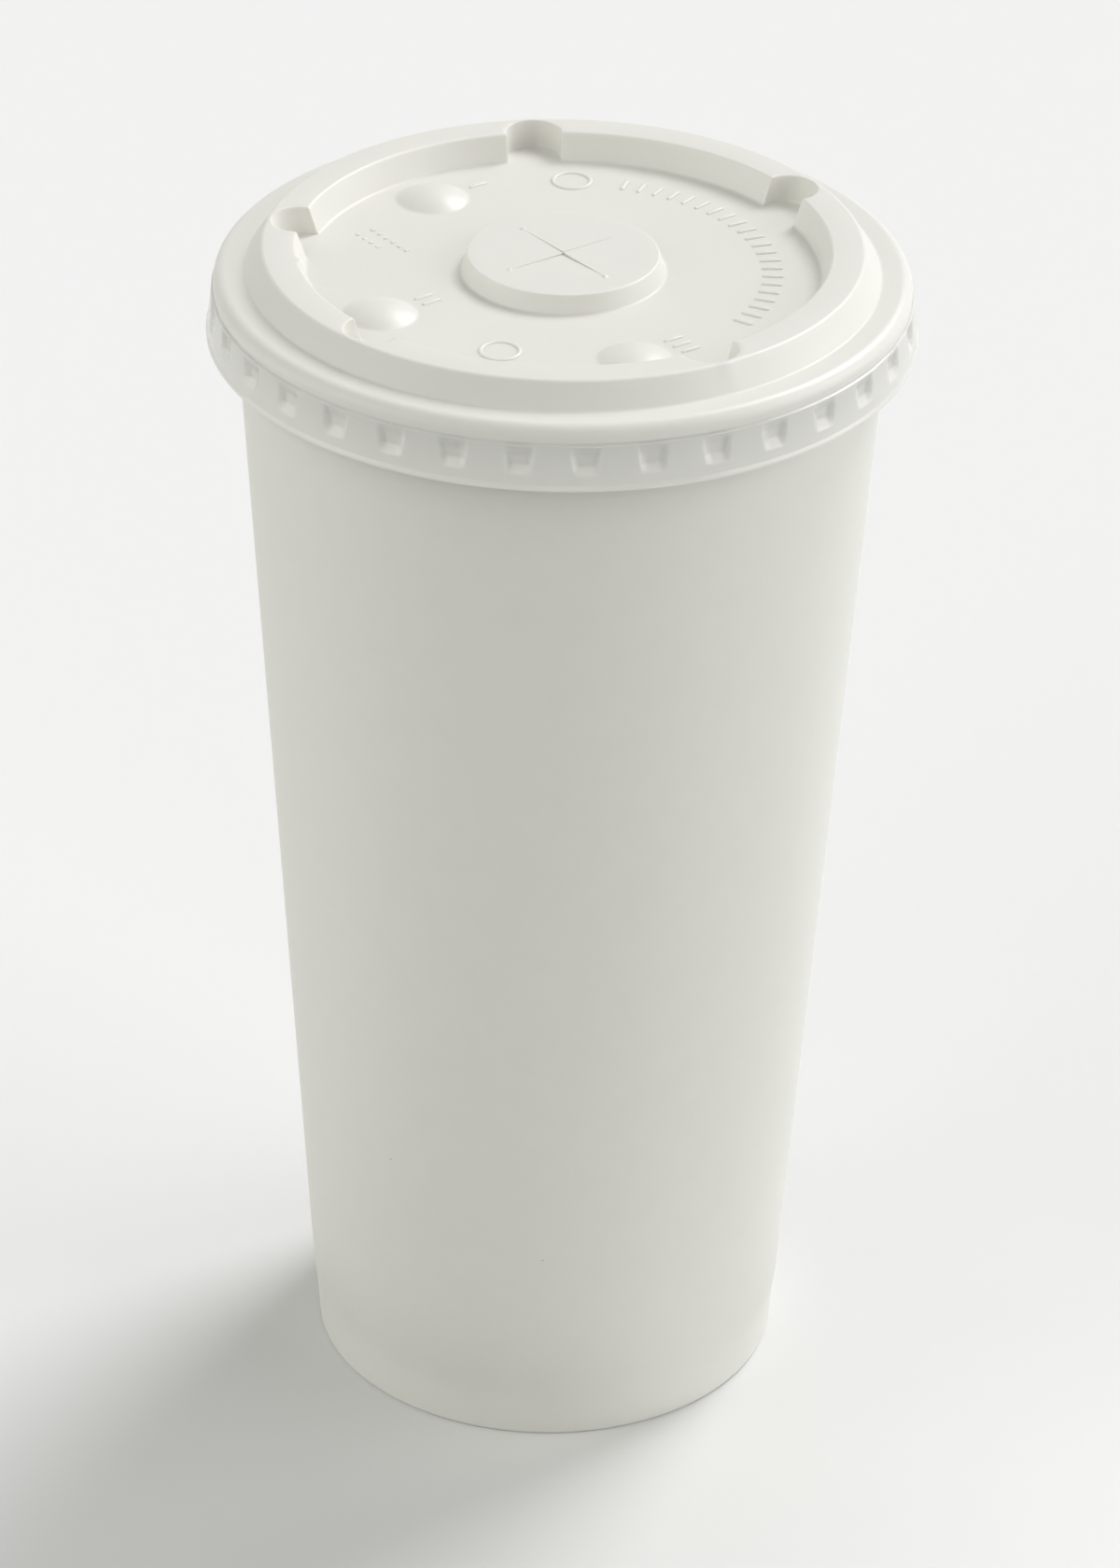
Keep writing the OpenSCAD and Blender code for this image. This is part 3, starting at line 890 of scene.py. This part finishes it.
def raised_bar(width, length_along, height):
    """One bar with soft edges, lying on the origin's plane."""
    deselect_all()
    bpy.ops.mesh.primitive_cube_add(size=1, location=(0, 0, 0))
    bar = bpy.context.object
    bar.scale = (width, length_along, 2 * height)
    apply_place(bar)
    bevel = bar.modifiers.new("Soft edges", "BEVEL")
    bevel.width = min(width, height * 2) * 0.45
    bevel.segments = 3
    apply_modifiers(bar)
    return bar


def raised_circle(radius, width, height):
    """One ring with a round section, lying on the origin's plane."""
    deselect_all()
    bpy.ops.mesh.primitive_torus_add(
        major_radius=radius, minor_radius=width / 2, major_segments=48, minor_segments=12, location=(0, 0, 0)
    )
    ring = bpy.context.object
    ring.scale = (1, 1, 2 * height / width)
    apply_place(ring)
    return ring


def copy_at(source, x, y, z, angle):
    """A copy of a piece with its own mesh, turned and moved to its place."""
    made = source.copy()
    made.data = source.data.copy()
    bpy.context.collection.objects.link(made)
    made.matrix_world = Matrix.Translation((x, y, z)) @ Matrix.Rotation(angle, 4, "Z")
    return made


class COLDCUP_OT_lid_marks(Operator):
    """Raises plain marks on the panel: bars beside the buttons, a curved row of bars, circles and dots"""
    bl_idname = "coldcup.lid_marks"
    bl_label = "Raised marks"

    def execute(self, context):
        lid = context.scene.cold_cup_lid
        shape = LidShape(context.scene.cold_cup, lid)
        bar = raised_bar(MARK_WIDTH, MARK_LENGTH, lid.mark_height)
        circle = raised_circle(CIRCLE_RADIUS, MARK_WIDTH, lid.mark_height)
        dot = raised_bar(MARK_WIDTH, MARK_WIDTH, lid.mark_height * DOT_HEIGHT_SHARE)
        made = []
        reading = math.radians(MARK_TURN)
        along = Vector((math.cos(reading), math.sin(reading)))
        upright = Vector((-along.y, along.x))
        for i, at in enumerate(BUTTON_TURNS):
            centre = Vector((math.cos(math.radians(at)), math.sin(math.radians(at)))) * lid.button_away
            for k in range(i + 1):
                place = centre + upright * TALLY_AWAY + along * (k - i / 2) * TALLY_PITCH
                made.append(copy_at(bar, place.x, place.y, shape.panel, reading))
        for k in range(ARC_BARS):
            at = math.radians(ARC_FROM + ARC_SPAN * k / (ARC_BARS - 1))
            x, y = around(lid.button_away, at)
            made.append(copy_at(bar, x, y, shape.panel, at - math.pi / 2))
        for inset, at in CIRCLES:
            x, y = around(lid.button_away - inset, math.radians(at))
            made.append(copy_at(circle, x, y, shape.panel, 0))
        for k in range(DOT_COUNT):
            place = DOT_PLACE + along * (k % DOTS_A_ROW - (DOTS_A_ROW - 1) / 2) * DOT_PITCH
            place -= upright * (k // DOTS_A_ROW) * DOT_ROW_PITCH
            made.append(copy_at(dot, place.x, place.y, shape.panel, reading))
        for source in (bar, circle, dot):
            bpy.data.objects.remove(source)
        deselect_all()
        for part in made:
            part.select_set(True)
        bpy.context.view_layer.objects.active = made[0]
        bpy.ops.object.join()
        piece = bpy.context.object
        piece.name = "lid_marks"
        apply_place(piece)
        material = bpy.data.materials["moulded_sheet"]
        finish_piece(piece, "lid", material, angle=60)
        return {"FINISHED"}


CAMERA_PLACE = Vector((0, -0.7519, 0.5247))
CAMERA_YAW = 0.0011
CAMERA_PITCH = math.radians(30.314)
CAMERA_ROLL = math.radians(1.076)
CAMERA_LENS = 147.86

FILL_TINT = (0.995, 1.0, 0.955)
# Each lamp's name, direction and height in degrees, strength, apparent width in degrees, and tint
LAMPS = (
    ("key_light", 50, 45, 1.9, 26, (1.0, 1.0, 1.01)),
    ("left_light", 180, 20, 0.7, 60, FILL_TINT),
    ("front_left_light", -150, 30, 0.74, 60, FILL_TINT),
    ("front_light", -90, 48, 0.4, 60, FILL_TINT),
    ("right_light", -10, 15, 1.76, 60, (1.0, 1.0, 0.99)),
)
SKY_ABOVE = 0.12
FLOOR_RADIUS = 0.9
# Painted shade on the floor in front of the foot, where the cup's shadow falls: its middle, and the distances
# between which it fades out
SHADE_PLACE = (-5 * MM, -42 * MM, 0)
SHADE_FROM = 15 * MM
SHADE_TO = 105 * MM


def add_camera():
    """The camera at the photograph's view: place, turn and lens."""
    forward = Vector((
        math.sin(CAMERA_YAW) * math.cos(CAMERA_PITCH),
        math.cos(CAMERA_YAW) * math.cos(CAMERA_PITCH),
        -math.sin(CAMERA_PITCH),
    ))
    level = Vector((math.cos(CAMERA_YAW), -math.sin(CAMERA_YAW), 0))
    above = level.cross(forward)
    right = math.cos(CAMERA_ROLL) * level + math.sin(CAMERA_ROLL) * above
    up = -math.sin(CAMERA_ROLL) * level + math.cos(CAMERA_ROLL) * above
    turned = Matrix((right, up, -forward)).transposed()
    data = bpy.data.cameras.new("photo_camera")
    data.lens = CAMERA_LENS
    data.sensor_width = 36
    camera = bpy.data.objects.new("photo_camera", data)
    camera.location = CAMERA_PLACE
    camera.rotation_euler = turned.to_euler()
    bpy.context.collection.objects.link(camera)
    bpy.context.scene.camera = camera


def add_sun(name, azimuth, height, strength, width, tint):
    """One wide soft lamp far away, described by a row of the table of lamps."""
    turned, raised = math.radians(azimuth), math.radians(height)
    level = Vector((math.cos(turned), math.sin(turned), 0)) * math.cos(raised)
    data = bpy.data.lights.new(name, "SUN")
    data.energy = strength
    data.angle = math.radians(width)
    data.color = tint
    lamp = bpy.data.objects.new(name, data)
    lamp.rotation_euler = (level + Vector((0, 0, math.sin(raised)))).to_track_quat("Z", "Y").to_euler()
    bpy.context.collection.objects.link(lamp)


def seen_rays(g):
    """1 for rays that show the stage to the camera, by themselves or in a gloss or through a sheet."""
    rays = g.node("ShaderNodeLightPath")
    total = rays.outputs["Is Camera Ray"]
    for name in ("Is Glossy Ray", "Is Transmission Ray"):
        add = g.node("ShaderNodeMath", operation="MAXIMUM")
        g.link(total, add.inputs[0])
        g.link(rays.outputs[name], add.inputs[1])
        total = add.outputs[0]
    return total


def add_sky(background, above, below):
    """A sky that is plain behind the object and lights it more from above than from below."""
    world = bpy.data.worlds.new("studio")
    bpy.context.scene.world = world
    world.use_nodes = True
    g = Grain(world.node_tree)
    out = g.node("ShaderNodeOutputWorld")
    place = g.node("ShaderNodeTexCoord")
    parts = g.node("ShaderNodeSeparateXYZ")
    rise = g.node("ShaderNodeMapRange")
    rise.inputs["From Min"].default_value = -0.05
    rise.inputs["From Max"].default_value = 0.05
    rise.inputs["To Min"].default_value = below
    rise.inputs["To Max"].default_value = above
    g.link(place.outputs["Generated"], parts.inputs["Vector"])
    g.link(parts.outputs["Z"], rise.inputs["Value"])
    soft = g.node("ShaderNodeBackground")
    g.link(rise.outputs["Result"], soft.inputs["Strength"])
    seen = g.node("ShaderNodeBackground")
    seen.inputs["Color"].default_value = (*background, 1)
    seen.inputs["Strength"].default_value = 1
    mix = g.node("ShaderNodeMixShader")
    g.link(seen_rays(g), mix.inputs[0])
    g.link(soft.outputs[0], mix.inputs[1])
    g.link(seen.outputs[0], mix.inputs[2])
    g.link(mix.outputs[0], out.inputs["Surface"])


class COLDCUP_OT_stage(Operator):
    """Lays the floor and sets the lights, the background and the camera"""
    bl_idname = "coldcup.stage"
    bl_label = "Stage"

    def execute(self, context):
        shades = context.scene.cold_cup_colours
        deselect_all()
        bpy.ops.mesh.primitive_circle_add(vertices=128, radius=FLOOR_RADIUS, fill_type="NGON", location=(0, 0, 0))
        floor = bpy.context.object
        floor.name = "floor"
        material = bpy.data.materials.new("floor_paper")
        material.use_nodes = True
        g = Grain(material.node_tree)
        out = g.node("ShaderNodeOutputMaterial")
        shader = g.node("ShaderNodeBsdfPrincipled")
        shader.inputs["Roughness"].default_value = 0.9
        shader.inputs["Specular IOR Level"].default_value = 0
        place = g.node("ShaderNodeTexCoord")
        away = g.node("ShaderNodeVectorMath", operation="DISTANCE")
        g.link(place.outputs["Object"], away.inputs[0])
        away.inputs[1].default_value = SHADE_PLACE
        reach = g.node("ShaderNodeMapRange", interpolation_type="SMOOTHSTEP")
        reach.inputs["From Min"].default_value = SHADE_FROM
        reach.inputs["From Max"].default_value = SHADE_TO
        g.link(away.outputs["Value"], reach.inputs["Value"])
        # Painted shade: the floor is coloured darker round SHADE_PLACE, where the cup's shadow falls, and fades
        # to the open floor's colour
        seen = g.node("ShaderNodeMix", data_type="RGBA")
        seen.inputs["A"].default_value = (*shades.floor_painted_shade, 1)
        seen.inputs["B"].default_value = (*shades.floor, 1)
        g.link(reach.outputs["Result"], seen.inputs["Factor"])
        mix = g.node("ShaderNodeMix", data_type="RGBA")
        mix.inputs["A"].default_value = (*shades.bounce, 1)
        g.link(seen.outputs["Result"], mix.inputs["B"])
        g.link(seen_rays(g), mix.inputs["Factor"])
        g.link(mix.outputs["Result"], shader.inputs["Base Color"])
        g.link(shader.outputs["BSDF"], out.inputs["Surface"])
        floor.data.materials.append(material)
        for lamp in LAMPS:
            add_sun(*lamp)
        add_sky(shades.background, SKY_ABOVE, 0)
        context.scene.view_settings.view_transform = "Standard"
        add_camera()
        return {"FINISHED"}


class COLDCUP_PT_panel(Panel):
    """Sizes and builders of the cup"""
    bl_label = "Cold Cup"
    bl_idname = "COLDCUP_PT_panel"
    bl_space_type = "VIEW_3D"
    bl_region_type = "UI"
    bl_category = "Cold Cup"

    def draw(self, context):
        for settings in (context.scene.cold_cup, context.scene.cold_cup_lid, context.scene.cold_cup_colours):
            box = self.layout.box()
            for name in settings.bl_rna.properties.keys():
                if name not in {"rna_type", "name"}:
                    box.prop(settings, name)
        for operator in OPERATORS:
            self.layout.operator(operator.bl_idname)


OPERATORS = (
    COLDCUP_OT_sidewall,
    COLDCUP_OT_base_disc,
    COLDCUP_OT_lid,
    COLDCUP_OT_lid_marks,
    COLDCUP_OT_stage,
)
CLASSES = (ColdCupSizes, LidSizes, ColdCupColours, *OPERATORS, COLDCUP_PT_panel)


def register():
    """Makes the settings, operators and panel known."""
    for cls in CLASSES:
        bpy.utils.register_class(cls)
    bpy.types.Scene.cold_cup = PointerProperty(type=ColdCupSizes)
    bpy.types.Scene.cold_cup_lid = PointerProperty(type=LidSizes)
    bpy.types.Scene.cold_cup_colours = PointerProperty(type=ColdCupColours)


def unregister():
    """Takes the settings, operators and panel away again."""
    del bpy.types.Scene.cold_cup
    del bpy.types.Scene.cold_cup_lid
    del bpy.types.Scene.cold_cup_colours
    for cls in reversed(CLASSES):
        bpy.utils.unregister_class(cls)


def main():
    """Builds every piece and the stage."""
    register()
    bpy.ops.coldcup.sidewall()
    bpy.ops.coldcup.base_disc()
    bpy.ops.coldcup.lid()
    bpy.ops.coldcup.lid_marks()
    bpy.ops.coldcup.stage()


if __name__ == "__main__":
    main()
